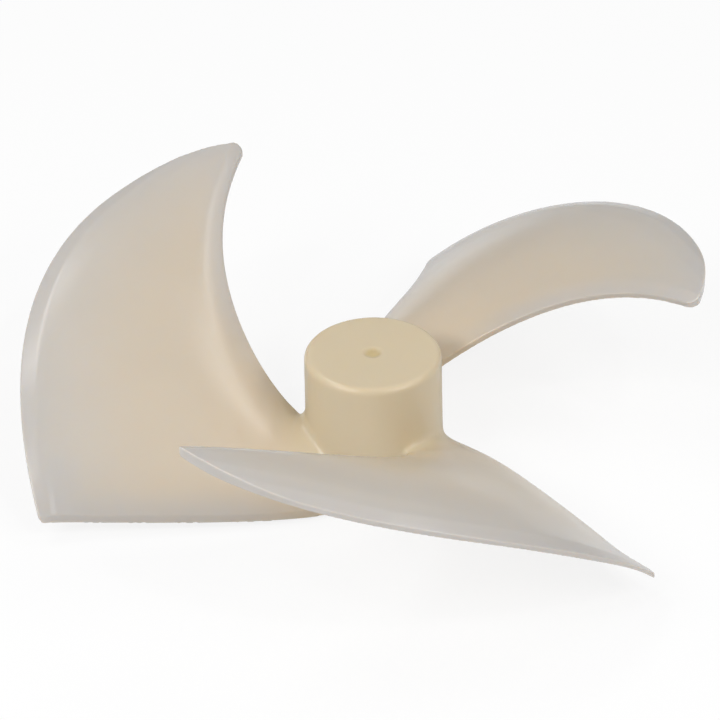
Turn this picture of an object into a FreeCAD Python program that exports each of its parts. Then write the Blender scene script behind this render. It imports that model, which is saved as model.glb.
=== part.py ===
import FreeCAD, Part
import math
import os
import Sketcher

os.makedirs("parts", exist_ok=True)
doc = FreeCAD.newDocument("impeller")
V = FreeCAD.Vector

# Driving sizes in mm and degrees. Angles are measured round the axis, seen from above. The five
# stations of a blade lie at equal steps of radius, from the top of the hub to the tip circle.
STATIONS = ["_hub", "_inner", "_middle", "_outer", "_tip"]
SIZES = [
    ("hub_base_radius", 10.9), ("hub_top_radius", 10.7), ("hub_height", 21.2),
    ("hub_edge_round", 1.0), ("skirt_wall", 1.7), ("top_wall", 2.0),
    ("boss_radius", 3.6), ("bore_radius", 1.5), ("bore_depth", 14.0),
    ("rib_count", 3), ("rib_thickness", 1.2), ("rib_start", 3.0),
    ("dimple_radius", 1.6), ("dimple_depth", 0.35), ("gate_nub_radius", 0.45), ("gate_nub_height", 0.2),
    ("blade_count", 3), ("tip_radius", 55.0), ("tip_sweep_in", 5.3),
    ("lead_angle_hub", 178.0), ("lead_angle_inner", 152.8), ("lead_angle_middle", 135.5),
    ("lead_angle_outer", 120.3), ("lead_angle_tip", 109.3),
    ("lead_height_hub", 7.8), ("lead_height_inner", 16.01), ("lead_height_middle", 24.06),
    ("lead_height_outer", 30.01), ("lead_height_tip", 32.27),
    ("trail_angle_hub", 261.0), ("trail_angle_inner", 225.5), ("trail_angle_middle", 210.5),
    ("trail_angle_outer", 203.0), ("trail_angle_tip", 199.6),
    ("trail_height_hub", 0.65), ("trail_rise", 2.8),
    ("arch_share_hub", 0.5), ("arch_share_tip", 1.19),
    ("blade_thickness_hub", 2.4), ("blade_thickness_tip", 2.0),
    ("trail_edge_thickness", 0.9), ("lead_edge_thickness", 0.8),
    ("root_round", 0.9), ("root_round_length", 4.5), ("base_corner_round", 0.9), ("tip_corner_round", 1.2),
    ("rim_width", 2.7), ("rim_drop", 0.7), ("rim_soft_width", 5.4), ("rim_soft_drop", 0.35),
    ("nose_drop", 0.9), ("nose_width_hub", 5.0), ("nose_width_inner", 6.2), ("nose_width_tip", 2.6),
]

sheet = doc.addObject("Spreadsheet::Sheet", "Sizes")
for row, (name, value) in enumerate(SIZES, start=1):
    sheet.set("A%d" % row, name)
    sheet.set("B%d" % row, str(value))
    sheet.setAlias("B%d" % row, name)
doc.recompute()


def size(name):
    return float(sheet.get(name))


def polar(radius, angle, height=0.0):
    turn = math.radians(angle)
    return V(radius * math.cos(turn), radius * math.sin(turn), height)


# The hub
def polygon_sketch(body, plane, corners):
    """Closed polygon on an origin plane; each corner is a pair of expressions."""
    sketch = body.newObject("Sketcher::SketchObject", "Section")
    sketch.AttachmentSupport = (plane, [""])
    sketch.MapMode = "FlatFace"
    turns = [360 * i / len(corners) for i in range(len(corners))]
    guess = [polar(size("hub_base_radius"), -turn) for turn in turns]
    for i in range(len(corners)):
        sketch.addGeometry(Part.LineSegment(guess[i], guess[(i + 1) % len(corners)]), False)
    for i in range(len(corners)):
        sketch.addConstraint(Sketcher.Constraint("Coincident", i, 2, (i + 1) % len(corners), 1))
    for i, (x, y) in enumerate(corners):
        for kind, text in (("DistanceX", x), ("DistanceY", y)):
            index = sketch.addConstraint(Sketcher.Constraint(kind, -1, 1, i, 1, 1.0))
            sketch.setExpression("Constraints[%d]" % index, text)
    return sketch


def hub_body():
    """Cap with a drafted skirt, a boss with a blind bore, ribs, and a rounded top edge."""
    body = doc.addObject("PartDesign::Body", "Hub")
    top_plane, front_plane = (body.Origin.OriginFeatures[3], body.Origin.OriginFeatures[4])
    inner_top = "Sizes.hub_height - Sizes.top_wall"
    narrow = "min(Sizes.hub_base_radius; Sizes.hub_top_radius)"
    inner_radius = narrow + " - Sizes.skirt_wall"
    section = polygon_sketch(body, front_plane, [
        ("0", "Sizes.bore_depth"), ("Sizes.bore_radius", "Sizes.bore_depth"), ("Sizes.bore_radius", "0"),
        ("Sizes.boss_radius", "0"), ("Sizes.boss_radius", inner_top),
        (inner_radius, inner_top), (inner_radius, "0"), ("Sizes.hub_base_radius", "0"),
        ("Sizes.hub_top_radius", "Sizes.hub_height"), ("0", "Sizes.hub_height")])
    turned = body.newObject("PartDesign::Revolution", "Turned")
    turned.Profile = section
    turned.ReferenceAxis = (section, ["V_Axis"])
    turned.Angle = 360
    section.Visibility = False

    reach = narrow + " - Sizes.skirt_wall / 2"
    start = "Sizes.boss_radius - (Sizes.boss_radius - Sizes.bore_radius) / 2"
    rib_section = polygon_sketch(body, top_plane, [
        (start, "-Sizes.rib_thickness / 2"), (reach, "-Sizes.rib_thickness / 2"),
        (reach, "Sizes.rib_thickness / 2"), (start, "Sizes.rib_thickness / 2")])
    rib_section.setExpression("AttachmentOffset.Base.z", "Sizes.rib_start")
    rib = body.newObject("PartDesign::Pad", "Rib")
    rib.Profile = rib_section
    rib.setExpression("Length", "Sizes.hub_height - Sizes.top_wall / 2 - Sizes.rib_start")
    ribs = body.newObject("PartDesign::PolarPattern", "Ribs")
    ribs.Originals = [rib]
    ribs.Axis = (rib_section, ["N_Axis"])
    ribs.Angle = 360
    ribs.setExpression("Occurrences", "Sizes.rib_count")
    body.Tip = ribs
    doc.recompute()

    rim = [i for i, edge in enumerate(ribs.Shape.Edges, start=1)
           if abs(edge.BoundBox.ZMin - size("hub_height")) < 1e-6
           and abs(edge.BoundBox.ZMax - size("hub_height")) < 1e-6
           and edge.BoundBox.XMax > 0.9 * size("hub_top_radius")]
    rounded = body.newObject("PartDesign::Fillet", "RoundedTop")
    rounded.Base = (ribs, ["Edge%d" % i for i in rim])
    rounded.setExpression("Radius", "Sizes.hub_edge_round")
    body.Tip = rounded

    dimple = body.newObject("PartDesign::SubtractiveSphere", "GateDimple")
    sphere = "(Sizes.dimple_radius ^ 2 + Sizes.dimple_depth ^ 2) / (2 * Sizes.dimple_depth)"
    dimple.setExpression("Radius", sphere)
    dimple.setExpression("Placement.Base.z", "Sizes.hub_height - Sizes.dimple_depth + " + sphere)
    nub = body.newObject("PartDesign::AdditiveCylinder", "GateNub")
    nub.setExpression("Radius", "Sizes.gate_nub_radius")
    nub.setExpression("Height", "2 * Sizes.gate_nub_height")
    nub.setExpression("Placement.Base.z", "Sizes.hub_height - Sizes.dimple_depth - Sizes.gate_nub_height")
    body.Tip = nub
    return body


# The blades. Shares of a blade's width run from its trailing edge (0) to its leading edge (1).
SWEEP_START_SHARE = 0.2     # where the outer edge leaves the tip circle
SWEEP_POWER = 2.5           # how late the sweep comes on
ARCH_LEAN_SHARE = 0.35      # how far the arch leans towards the trailing edge
STEEPEST_RATIO = 1.5        # slope up to which the blade keeps its full thickness
OVERRUN = 1.0               # mm that a bevel's cut runs past the material


def quartic(values, part):
    """Smooth curve through five evenly spaced values, at a part of the way from first to last."""
    total = 0.0
    for i, value in enumerate(values):
        weight = 1.0
        for j in range(len(values)):
            if j != i:
                weight *= (part * (len(values) - 1) - j) / (i - j)
        total += weight * value
    return total


def through_stations(prefix, part):
    """Value at a part of the way from hub (0) to tip (1), and straight on beyond both ends."""
    values = [size(prefix + station) for station in STATIONS]
    inside = min(max(part, -0.05), 1.05)
    value = quartic(values, inside)
    if part == inside:
        return value
    step = math.copysign(0.01, part - inside)
    return value + (value - quartic(values, inside - step)) / step * (part - inside)


def fade(value, start, end):
    x = min(1.0, max(0.0, (value - start) / (end - start)))
    return x * x * (3 - 2 * x)


def part_out(radius):
    return (radius - size("hub_top_radius")) / (size("tip_radius") - size("hub_top_radius"))


def radius_at(part):
    return size("hub_top_radius") + (size("tip_radius") - size("hub_top_radius")) * part


def place_along(radius, angle):
    """How far a place lies along the blade, from trailing (0) to leading edge (1)."""
    trail = through_stations("trail_angle", part_out(radius))
    return (trail - angle) / (trail - through_stations("lead_angle", part_out(radius)))


def outer_edge(along):
    """Radius and angle of a point of the outer edge, from trailing (0) to leading end (1)."""
    swept = max(0.0, (along - SWEEP_START_SHARE) / (1 - SWEEP_START_SHARE)) ** SWEEP_POWER
    radius = size("tip_radius") - size("tip_sweep_in") * swept
    trail = through_stations("trail_angle", part_out(radius))
    return radius, trail + (through_stations("lead_angle", part_out(radius)) - trail) * along


def middle_height(radius, angle):
    """Height half way through the blade: a twisted, arched sheet that rises to its leading edge."""
    part = part_out(radius)
    along = place_along(radius, angle)
    low = size("trail_height_hub") + size("trail_rise") * part
    high = through_stations("lead_height", part) + size("nose_drop") / 2
    arch = size("arch_share_hub") + (size("arch_share_tip") - size("arch_share_hub")) * part
    share = along + along * (1 - along) * arch * (1 + ARCH_LEAN_SHARE * (1 - 2 * along))
    rim_lift = (size("rim_drop") + size("rim_soft_drop")) / 2 * part ** 2 * (1 - (2 * along - 1) ** 4)
    return low + (high - low) * share + rim_lift


def thickness(radius, angle):
    part = part_out(radius)
    along = place_along(radius, angle)
    trail, lead = size("trail_edge_thickness"), size("lead_edge_thickness") + size("nose_drop")
    full = size("blade_thickness_hub") + (size("blade_thickness_tip") - size("blade_thickness_hub")) * part
    return trail + (lead - trail) * along + (full - (trail + lead) / 2) * max(0.0, 4 * along * (1 - along))


def side_height(radius, angle, side):
    """Height of the blade's upper (1) or lower (-1) side. The upper one flares out at the hub."""
    height = middle_height(radius, angle)
    step = 0.1          # degrees, over which the slope is taken
    slope = (middle_height(radius, angle + step) - height) / (radius * math.radians(step))
    lift = thickness(radius, angle) / 2 * math.sqrt(1 + min(abs(slope), STEEPEST_RATIO) ** 2)
    if side < 0:
        return height - lift
    along = place_along(radius, angle)
    clear = (radius - size("hub_top_radius")) / size("root_round_length")
    between_edges = max(0.0, 4 * along * (1 - along))
    return height + lift + size("root_round") * (1 - fade(clear, -0.2, 1.0)) * between_edges


def curve(points):
    line = Part.BSplineCurve()
    line.interpolate(points)
    return line


def curve_through(points, parameters):
    line = Part.BSplineCurve()
    line.interpolate(Points=points, Parameters=parameters)
    return line


def surface_through(grid, row_parameters, column_parameters):
    """Smooth surface through a grid of points, at the given parameters."""
    lines = [curve_through(points, column_parameters) for points in grid]
    columns = zip(*[line.getPoles() for line in lines])
    across = [curve_through(list(points), row_parameters) for points in columns]
    surface = Part.BSplineSurface()
    surface.buildFromPolesMultsKnots([line.getPoles() for line in across],
                                     lines[0].getMultiplicities(), across[0].getMultiplicities(),
                                     lines[0].getKnots(), across[0].getKnots(), False, False, 3, 3)
    return surface


def frame_corners():
    """Corners of the plan frame, which overhangs the blade's outline on every side: trailing root,
    trailing tip, leading tip and leading root."""
    hub = size("hub_top_radius")
    tip_overhang = 6            # degrees past the tip's two ends
    trail_overhang = 16         # degrees past the trailing root
    lead_overhang = 35          # degrees past the leading root
    middle = (size("trail_angle_tip") + size("lead_angle_tip")) / 2
    half = (size("trail_angle_tip") - size("lead_angle_tip")) / 2 + tip_overhang
    reach = 1.02 * size("tip_radius") / math.cos(math.radians(half))
    return [polar(1.5 * hub, size("trail_angle_hub") + trail_overhang), polar(reach, middle + half),
            polar(reach, middle - half), polar(0.77 * hub, size("lead_angle_hub") - lead_overhang)]


def blade_side(side, row_count, column_count):
    """Smooth surface over the plan frame, on the blade's upper (1) or lower (-1) side. Its rows run
    from the hub outwards, closer together at the root, and its columns from trailing to leading."""
    trail_root, trail_tip, lead_tip, lead_root = frame_corners()
    rows = [(i / (row_count - 1)) ** 1.6 for i in range(row_count)]
    columns = [i / (column_count - 1) for i in range(column_count)]
    grid = []
    for out in rows:
        start = trail_root + (trail_tip - trail_root) * out
        end = lead_root + (lead_tip - lead_root) * out
        line = [start + (end - start) * across for across in columns]
        for place in line:
            angle = math.degrees(math.atan2(place.y, place.x)) % 360
            place.z = side_height(math.hypot(place.x, place.y), angle, side)
        grid.append(line)
    return surface_through(grid, rows, columns)


def slab():
    """Upper and lower surfaces of a blade, closed to a solid that overhangs its outline."""
    upper = blade_side(1, 13, 10)
    lower = blade_side(-1, 10, 11)
    faces = [upper.toShape(), lower.toShape()]
    u0, u1, v0, v1 = upper.bounds()
    for pick in (lambda s: s.uIso(u0), lambda s: s.uIso(u1), lambda s: s.vIso(v0), lambda s: s.vIso(v1)):
        faces.append(Part.makeRuledSurface(pick(upper).toShape(), pick(lower).toShape()))
    shell = Part.Shell(faces)
    shell.sewShape()
    solid = Part.Solid(shell)
    if solid.Volume < 0:
        solid.reverse()
    return solid


def outline_prism():
    """Plan outline of a blade as a tall prism with rounded corners."""
    narrow = min(size("hub_base_radius"), size("hub_top_radius"))
    root = part_out(narrow - size("skirt_wall") / 2)
    tip = part_out(outer_edge(1)[0])
    shares = [step / 12 for step in range(13)]

    def side_edge(prefix, end):
        parts = [root + (end - root) * share for share in shares]
        return [polar(radius_at(part), through_stations(prefix, part)) for part in parts]

    trail, lead = side_edge("trail_angle", 1), side_edge("lead_angle", tip)
    root_trail, root_lead = through_stations("trail_angle", root), through_stations("lead_angle", root)
    root_angles = [root_lead + (root_trail - root_lead) * share for share in shares]
    edges = [curve(trail), curve([polar(*outer_edge(share)) for share in shares]), curve(lead[::-1]),
             curve([polar(radius_at(root), angle) for angle in root_angles])]
    tall = size("lead_height_tip") + size("hub_height")
    prism = Part.Face(Part.Wire([edge.toShape() for edge in edges])).extrude(V(0, 0, tall))
    for radius, corner in ((size("base_corner_round"), trail[-1]), (size("tip_corner_round"), lead[-1])):
        upright = [e for e in prism.Edges if e.BoundBox.ZLength > 0.9 * tall
                   and math.hypot(e.CenterOfMass.x - corner.x, e.CenterOfMass.y - corner.y) < 0.5]
        prism = prism.makeFillet(radius, upright)
    return prism


def wedge(inner, outer):
    """Solid above the sloping strip between two lines: what a bevel takes off the upper side."""
    strip = Part.makeRuledSurface(curve(inner).toShape(), curve(outer).toShape())
    return strip.extrude(V(0, 0, size("hub_height") / 2))


def ridge_inset(width, along):
    """How far inside the outer edge a rim bevel's ridge runs. It starts at a third of the width at
    the trailing end, and leaves through the edge near the tip."""
    narrowed = 0.35 + 0.65 * fade(along, -0.1, 0.35)
    return width * narrowed - (width + 1.5 * OVERRUN) * fade(along, 0.65, 1.0)


def bevel_depth(width, drop, along, inset):
    """Depth of a rim bevel below the uncut side, at an inset from the outer edge; negative inside
    its ridge."""
    return drop / width * (ridge_inset(width, along) - inset)


def rim_wedge(width, drop, earlier_width=None, earlier_drop=0.0):
    """Bevel along the outer edge, cut into what an earlier, wider bevel has left."""
    inner, outer = [], []
    steps = 24
    for step in range(-1, steps + 2):
        along = step / steps
        radius, angle = outer_edge(along)
        ridge = ridge_inset(width, along)
        for line, inset in ((inner, ridge + OVERRUN), (outer, ridge - width - OVERRUN)):
            depth = bevel_depth(width, drop, along, inset)
            if earlier_width:
                depth += max(0.0, bevel_depth(earlier_width, earlier_drop, along, inset))
            line.append(polar(radius - inset, angle, side_height(radius - inset, angle, 1) - depth))
    return wedge(inner, outer)


def nose_width(part):
    """Width of the bevel along the leading edge, widest at the inner station."""
    hub, inner, tip = size("nose_width_hub"), size("nose_width_inner"), size("nose_width_tip")
    return hub + (inner - hub) * fade(part, 0, 0.25) + (tip - inner) * fade(part, 0.2, 0.85)


def nose_wedge():
    """Bevel along the leading edge."""
    inner, outer = [], []
    steps = 24
    for step in range(-1, steps + 1):
        part = step / steps
        radius = radius_at(part)
        width = nose_width(part)
        for line, inset in ((inner, width + OVERRUN), (outer, -OVERRUN)):
            angle = through_stations("lead_angle", part) + math.degrees(inset / radius)
            depth = size("nose_drop") / width * (width - inset)
            line.append(polar(radius, angle, side_height(radius, angle, 1) - depth))
    return wedge(inner, outer)


def blade_shape():
    """One blade: the slab inside its plan outline, bevelled on its upper side."""
    soft = rim_wedge(size("rim_soft_width"), size("rim_soft_drop"))
    crisp = rim_wedge(size("rim_width"), size("rim_drop"), size("rim_soft_width"), size("rim_soft_drop"))
    blade = slab().common(outline_prism()).cut([soft, crisp, nose_wedge()])
    return max(blade.Solids, key=lambda solid: solid.Volume)


# The impeller
hub = hub_body()
blade = blade_shape()
blades = []
for number in range(int(size("blade_count"))):
    copy = doc.addObject("Part::Feature", "Blade")
    copy.Shape = blade
    copy.Placement = FreeCAD.Placement(V(0, 0, 0), V(0, 0, 1), number * 360 / int(size("blade_count")))
    blades.append(copy)

impeller = doc.addObject("Part::MultiFuse", "Impeller")
impeller.Label = "impeller"
impeller.Shapes = [hub] + blades
impeller.Placement = FreeCAD.Placement(V(0, 0, 0), V(0, 0, 1), 0)
doc.recompute()

for item in doc.Objects:
    if {"Invalid", "Error"} & set(item.State):
        raise RuntimeError("%s did not build: %s" % (item.Label, item.State))
    shape = getattr(item, "Shape", None)
    if shape is not None and item.TypeId not in ("App::Line", "App::Plane", "App::Point"):
        if shape.isNull() or not shape.isValid():
            raise RuntimeError("%s has a bad shape" % item.Label)
if len(impeller.Shape.Solids) != 1:
    raise RuntimeError("the impeller is not one solid")

impeller.Shape.exportStep("parts/impeller.step")
print("impeller", round(impeller.Shape.Volume), "mm3", impeller.Shape.optimalBoundingBox(False))
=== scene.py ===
import math

import bpy
import numpy as np
from mathutils import Matrix, Vector
from mathutils.bvhtree import BVHTree


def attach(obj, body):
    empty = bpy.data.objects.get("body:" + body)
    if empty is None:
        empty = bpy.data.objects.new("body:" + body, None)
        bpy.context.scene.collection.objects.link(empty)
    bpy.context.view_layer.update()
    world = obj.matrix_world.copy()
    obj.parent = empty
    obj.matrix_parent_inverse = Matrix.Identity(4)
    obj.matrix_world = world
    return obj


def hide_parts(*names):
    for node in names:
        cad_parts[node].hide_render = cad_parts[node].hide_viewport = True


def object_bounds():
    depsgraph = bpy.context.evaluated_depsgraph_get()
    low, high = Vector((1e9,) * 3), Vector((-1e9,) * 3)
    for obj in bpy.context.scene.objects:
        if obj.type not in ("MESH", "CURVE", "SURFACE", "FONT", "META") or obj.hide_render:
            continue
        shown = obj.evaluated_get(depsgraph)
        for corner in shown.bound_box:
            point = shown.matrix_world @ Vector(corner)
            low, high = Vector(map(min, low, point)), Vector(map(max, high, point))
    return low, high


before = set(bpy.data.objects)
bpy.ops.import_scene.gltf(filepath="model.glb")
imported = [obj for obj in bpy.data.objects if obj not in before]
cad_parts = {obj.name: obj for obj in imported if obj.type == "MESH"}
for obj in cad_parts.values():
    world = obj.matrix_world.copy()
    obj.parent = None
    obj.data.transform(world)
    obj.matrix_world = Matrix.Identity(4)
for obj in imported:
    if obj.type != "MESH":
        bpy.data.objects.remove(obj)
cad_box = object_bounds()
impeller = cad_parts["impeller"]
tip_radius = max(cad_box[1][0], -cad_box[0][0])
HUB_RADIUS = 0.0107                           # m, at the top

# camera: where the photograph was taken from
IMAGE = 720                                   # px
FOCAL = 3879                                  # px
SENSOR = 36                                   # mm
DISTANCE = 0.6028                             # m, to the point in the middle of the picture
AIM = Vector((-0.00201, 0.0, 0.01982))
ELEVATION = math.radians(33.68)
ROLL = math.radians(1.18)

# colours, linear
# painted shade: the centre of the hub's top, in the gate dimple, is darker and yellower
PLASTIC_DIMPLE_SHADE = (0.61, 0.49, 0.27)
PLASTIC_HUB = (0.67, 0.57, 0.405)
PLASTIC_ROOT = (0.65, 0.55, 0.42)
PLASTIC_BLADE = (0.63, 0.55, 0.445)
PLASTIC_TIP = (0.58, 0.545, 0.50)
PLASTIC_THIN = (0.55, 0.53, 0.515)
FLOOR = (0.90, 0.90, 0.90)

# light
WORLD_STRENGTH = 0.31
FLOOR_WHITENESS = 0.85                        # of the floor that the camera sees; the rest shows its shadows
FLOOR_IN_GLOSS = 0.15                         # low, because a white floor puts a sheen on the plastic
LAMP_DISTANCE = 0.7                           # m

# moulded skin, lengths in m
VOXEL = 0.00026
SWELL = 0.0003                                # keeps the thin edges whole in the voxels
FILLET_ROUNDS = 130
EDGE_ROUNDS = 5
POLISH_ROUNDS = 4
KEPT_FACES = 0.22
THIN_REACH = 0.005                            # how far from an edge the plastic looks thin


def add_camera():
    camera = bpy.data.objects.new("camera", bpy.data.cameras.new("camera"))
    bpy.context.scene.collection.objects.link(camera)
    forward = Vector((0, math.cos(ELEVATION), -math.sin(ELEVATION)))
    level_right = Vector((1, 0, 0))
    level_up = Vector((0, math.sin(ELEVATION), math.cos(ELEVATION)))
    right = math.cos(ROLL) * level_right - math.sin(ROLL) * level_up
    up = math.sin(ROLL) * level_right + math.cos(ROLL) * level_up
    turn = Matrix((right, up, -forward)).transposed().to_4x4()
    camera.matrix_world = Matrix.Translation(AIM - DISTANCE * forward) @ turn
    camera.data.sensor_width = SENSOR
    camera.data.lens = SENSOR * FOCAL / IMAGE
    camera.data.clip_end = 20
    bpy.context.scene.camera = camera


class Nodes:
    """Small helper that adds and links the nodes of one node tree."""

    def __init__(self, owner):
        owner.use_nodes = True
        self.tree = owner.node_tree
        self.tree.nodes.clear()

    def add(self, kind, inputs=None, **settings):
        node = self.tree.nodes.new(kind)
        for name, value in settings.items():
            setattr(node, name, value)
        for name, value in (inputs or {}).items():
            if isinstance(value, bpy.types.NodeSocket):
                self.tree.links.new(value, node.inputs[name])
            else:
                node.inputs[name].default_value = value
        return node

    def math(self, operation, *values):
        return self.add("ShaderNodeMath", dict(enumerate(values)), operation=operation).outputs[0]

    def ramp(self, value, stops):
        node = self.add("ShaderNodeValToRGB", {"Fac": value})
        node.color_ramp.interpolation = "EASE"
        points = node.color_ramp.elements
        while len(points) < len(stops):
            points.new(0.5)
        for point, (place, colour) in zip(points, stops):
            point.position = place
            point.color = (*colour, 1)
        return node.outputs["Color"]

    def mix(self, share, first, second, blend="MIX"):
        node = self.add("ShaderNodeMix", data_type="RGBA", blend_type=blend)
        for index, value in ((0, share), (6, first), (7, second)):
            if isinstance(value, bpy.types.NodeSocket):
                self.tree.links.new(value, node.inputs[index])
            else:
                node.inputs[index].default_value = value if index == 0 else (*value, 1)
        return node.outputs[2]


def plastic():
    """Natural, unpigmented plastic: creamy where it is thick and greyer where it is thin."""
    material = bpy.data.materials.new("natural_plastic")
    nodes = Nodes(material)
    place = nodes.add("ShaderNodeTexCoord").outputs["Object"]
    split = nodes.add("ShaderNodeSeparateXYZ", {0: place})
    squares = [nodes.math("POWER", split.outputs[axis], 2.0) for axis in ("X", "Y")]
    radius = nodes.math("SQRT", nodes.math("ADD", *squares))
    share = nodes.math("DIVIDE", radius, tip_radius)
    # the first stop is painted shade in the gate dimple at the hub's centre
    colour = nodes.ramp(share, [
        (0.012, PLASTIC_DIMPLE_SHADE), (0.03, PLASTIC_HUB), (0.2, PLASTIC_HUB),
        (0.32, PLASTIC_ROOT), (0.6, PLASTIC_BLADE), (1.0, PLASTIC_TIP)])
    thin = nodes.add("ShaderNodeAttribute", attribute_name="thin").outputs["Fac"]
    colour = nodes.mix(nodes.math("MULTIPLY", thin, 0.6), colour, PLASTIC_THIN)

    cloud = nodes.add("ShaderNodeTexNoise", {"Vector": place, "Scale": 60.0, "Detail": 3.0}).outputs["Fac"]
    tone = nodes.mix(cloud, (0.95, 0.95, 0.95), (1.0, 1.0, 1.0))
    colour = nodes.mix(1.0, colour, tone, "MULTIPLY")

    grain = nodes.add("ShaderNodeTexNoise", {"Vector": place, "Scale": 1400.0, "Detail": 2.0})
    bump = nodes.add("ShaderNodeBump", {
        "Height": grain.outputs["Fac"], "Strength": 0.08, "Distance": 0.00005})
    # under 0.27 everywhere, because denoised pictures show patches where the roughness crosses that
    rough = nodes.add("ShaderNodeMapRange", {"Value": cloud, "To Min": 0.22, "To Max": 0.265}).outputs[0]

    shader = nodes.add("ShaderNodeBsdfPrincipled", {
        "Base Color": colour, "Roughness": rough, "Normal": bump.outputs["Normal"], "IOR": 1.47,
        "Subsurface Weight": 1.0, "Subsurface Radius": (1.0, 0.8, 0.6), "Subsurface Scale": 0.0006})
    nodes.add("ShaderNodeOutputMaterial", {"Surface": shader.outputs["BSDF"]})
    return material


def with_modifiers(piece):
    """New mesh of the piece as its modifiers leave it."""
    graph = bpy.context.evaluated_depsgraph_get()
    graph.update()
    return bpy.data.meshes.new_from_object(piece.evaluated_get(graph))


def smooth_step(values, start, end):
    x = np.clip((values - start) / (end - start), 0, 1)
    return x * x * (3 - 2 * x)


def radii(points):
    """Distance of each point from the shaft's axis."""
    return np.hypot(points[:, 0], points[:, 1])


def points_of(mesh):
    points = np.empty(3 * len(mesh.vertices))
    mesh.vertices.foreach_get("co", points)
    return points.reshape(-1, 3)


def edges_of(mesh):
    ends = np.empty(2 * len(mesh.edges), int)
    mesh.edges.foreach_get("vertices", ends)
    return ends.reshape(-1, 2)


def relax(points, edges, share, rounds):
    """Moves each point part of the way to the middle of its neighbours, a number of times."""
    first, second = edges.T
    count = np.bincount(edges.ravel(), minlength=len(points))
    for _ in range(rounds):
        middle = np.empty_like(points)
        for axis in range(3):
            line = points[:, axis]
            total = np.bincount(first, line[second], len(points))
            total = total + np.bincount(second, line[first], len(points))
            middle[:, axis] = total / count
        points = points + share[:, None] * (middle - points)
    return points


def steep_faces(mesh, inside):
    """Search tree of the blades' narrow edge faces that lie beyond a radius."""
    corners = [corner.co for corner in mesh.vertices]
    faces = [face.vertices for face in mesh.polygons
             if abs(face.normal.z) < 0.5 and face.center.xy.length > inside]
    return BVHTree.FromPolygons(corners, faces)


def distances(tree, points, reach=0.01):
    """Distance of each point from the faces of a search tree, up to a reach."""
    found = [tree.find_nearest(point, reach)[3] for point in points]
    return np.array([reach if gap is None else gap for gap in found])


def softness(points, edge, rim):
    """How much each point is smoothed: fully on the blades' broad sides and at their roots, and
    hardly at all at thin edges, along the crisp ridge of the rim and on the rest of the hub."""
    radius = radii(points)
    height = points[:, 2]
    far_from_edge = smooth_step(distances(edge, points), 0.0005, 0.0015)
    far_from_rim = smooth_step(distances(rim, points), 0.0032, 0.0050)
    amount = far_from_edge * (0.04 + 0.96 * far_from_rim) * (1 - 0.7 * smooth_step(radius, 0.015, 0.045))
    outside = smooth_step(radius, HUB_RADIUS - 0.0004, HUB_RADIUS - 0.0001)
    skirt = smooth_step(height, 0.0008, 0.002) * (1 - smooth_step(height, 0.015, 0.018))
    return amount * outside * np.where(radius > HUB_RADIUS + 0.0005, 1.0, 0.3 * skirt)


def remeshed(skin):
    """Even, closed mesh of the skin, a little swollen."""
    askew = Matrix.Rotation(0.6, 4, "Z") @ Matrix.Rotation(0.4, 4, "X")    # keeps edges off the voxel planes
    skin.data.transform(askew)
    weld = skin.modifiers.new("weld", "WELD")
    weld.merge_threshold = 1e-6
    swell = skin.modifiers.new("swell", "DISPLACE")
    swell.mid_level = 0
    swell.strength = SWELL
    remesh = skin.modifiers.new("remesh", "REMESH")
    remesh.mode = "VOXEL"
    remesh.voxel_size = VOXEL
    mesh = with_modifiers(skin)
    skin.modifiers.clear()
    mesh.transform(askew.inverted())
    return mesh


def softened(points, edges, edge, rim):
    """The points with filleted roots, rounded edges and a smooth surface."""
    points = relax(points, edges, 0.5 * softness(points, edge, rim), FILLET_ROUNDS)
    points = relax(points, edges, 0.5 * smooth_step(radii(points), 0.004, 0.006), EDGE_ROUNDS)
    for _ in range(POLISH_ROUNDS):
        points = relax(points, edges, np.full(len(points), 0.5), 1)
        points = relax(points, edges, np.full(len(points), -0.46), 1)
    return points


def moulding(source):
    """The same form with what moulding adds: rounded edges, soft ridges and filleted blade roots."""
    skin = bpy.data.objects.new("impeller_moulding", source.data.copy())
    bpy.context.scene.collection.objects.link(skin)
    skin.data = remeshed(skin)

    form = BVHTree.FromPolygons([corner.co for corner in source.data.vertices],
                                [face.vertices for face in source.data.polygons])
    edge = steep_faces(source.data, HUB_RADIUS + 0.0008)
    rim = steep_faces(source.data, 0.885 * tip_radius)
    points = np.array([form.find_nearest(corner.co)[0] for corner in skin.data.vertices])
    points = softened(points, edges_of(skin.data), edge, rim)
    skin.data.vertices.foreach_set("co", points.ravel())

    thin_out = skin.modifiers.new("thin_out", "DECIMATE")
    thin_out.ratio = KEPT_FACES
    skin.data = with_modifiers(skin)
    skin.modifiers.clear()
    points = np.clip(points_of(skin.data), *cad_box)
    skin.data.vertices.foreach_set("co", points.ravel())
    skin.data.shade_smooth()

    thin = skin.data.attributes.new("thin", "FLOAT", "POINT")
    away = smooth_step(radii(points), 0.014, 0.028)
    thin.data.foreach_set("value", away * (1 - smooth_step(distances(edge, points), 0.0, THIN_REACH)))
    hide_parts("impeller")
    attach(skin, "root")
    return skin


def seen_by(nodes, *rays):
    """1 for the given kinds of ray and 0 for the rest."""
    path = nodes.add("ShaderNodeLightPath")
    seen = path.outputs[rays[0]]
    for ray in rays[1:]:
        seen = nodes.math("MAXIMUM", seen, path.outputs[ray])
    return seen


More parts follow.
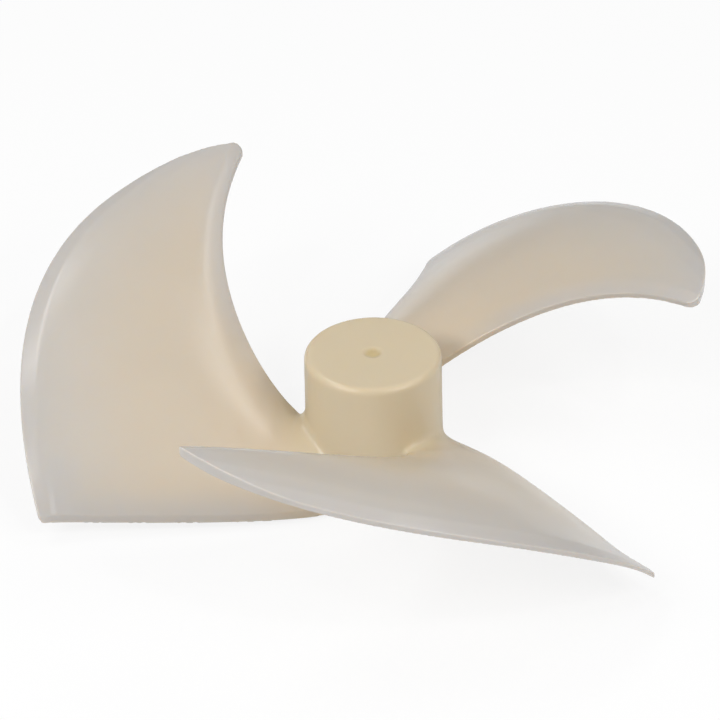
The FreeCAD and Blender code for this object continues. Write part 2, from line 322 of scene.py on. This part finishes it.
def add_floor():
    mesh = bpy.data.meshes.new("floor")
    side = 3.0
    corners = [(-side, -side, 0), (side, -side, 0), (side, side, 0), (-side, side, 0)]
    mesh.from_pydata(corners, [], [(0, 1, 2, 3)])
    plane = bpy.data.objects.new("floor", mesh)
    bpy.context.scene.collection.objects.link(plane)
    plane.location.z = cad_box[0][2] - 0.0002
    material = bpy.data.materials.new("floor")
    nodes = Nodes(material)
    diffuse = nodes.add("ShaderNodeBsdfDiffuse", {"Color": (*FLOOR, 1)}).outputs[0]
    white = nodes.add("ShaderNodeEmission").outputs[0]
    seen = nodes.math("MULTIPLY", seen_by(nodes, "Is Camera Ray", "Is Transmission Ray"), FLOOR_WHITENESS)
    mirrored = nodes.math("MULTIPLY", seen_by(nodes, "Is Glossy Ray"), FLOOR_IN_GLOSS)
    share = nodes.math("MAXIMUM", seen, mirrored)
    mixed = nodes.add("ShaderNodeMixShader", {0: share, 1: diffuse, 2: white})
    nodes.add("ShaderNodeOutputMaterial", {"Surface": mixed.outputs[0]})
    mesh.materials.append(material)


def add_world():
    world = bpy.data.worlds.new("studio")
    bpy.context.scene.world = world
    nodes = Nodes(world)
    seen = seen_by(nodes, "Is Camera Ray", "Is Transmission Ray")
    level = nodes.add("ShaderNodeMapRange", {"Value": seen, "To Min": WORLD_STRENGTH, "To Max": 1.0})
    background = nodes.add("ShaderNodeBackground", {"Color": (1, 1, 1, 1), "Strength": level.outputs[0]})
    nodes.add("ShaderNodeOutputWorld", {"Surface": background.outputs[0]})


def add_lamp(name, azimuth, elevation, size, power):
    """Softbox that faces the object; azimuth 0 is the camera's side and grows to the right."""
    data = bpy.data.lights.new(name, "AREA")
    data.shape = "RECTANGLE"
    data.size, data.size_y = size
    data.energy = power
    light = bpy.data.objects.new(name, data)
    bpy.context.scene.collection.objects.link(light)
    turn, lift = math.radians(azimuth), math.radians(elevation)
    way = Vector((math.sin(turn) * math.cos(lift), -math.cos(turn) * math.cos(lift), math.sin(lift)))
    light.location = AIM + LAMP_DISTANCE * way
    light.rotation_euler = way.to_track_quat("Z", "Y").to_euler()


add_camera()
add_floor()
add_world()
add_lamp("left_softbox", -53, 38, (0.42, 0.16), 1.9)
add_lamp("right_softbox", 53, 38, (0.42, 0.16), 1.55)
add_lamp("left_spark", -37, 54, (0.05, 0.05), 0.32)
add_lamp("right_spark", 35, 54, (0.05, 0.05), 0.46)
add_lamp("back_left_softbox", -118, 60, (0.35, 0.15), 0.85)
add_lamp("back_right_softbox", 120, 56, (0.2, 0.12), 0.32)
skin = moulding(impeller)
skin.data.materials.clear()
skin.data.materials.append(plastic())

bpy.context.scene.view_settings.view_transform = "Standard"
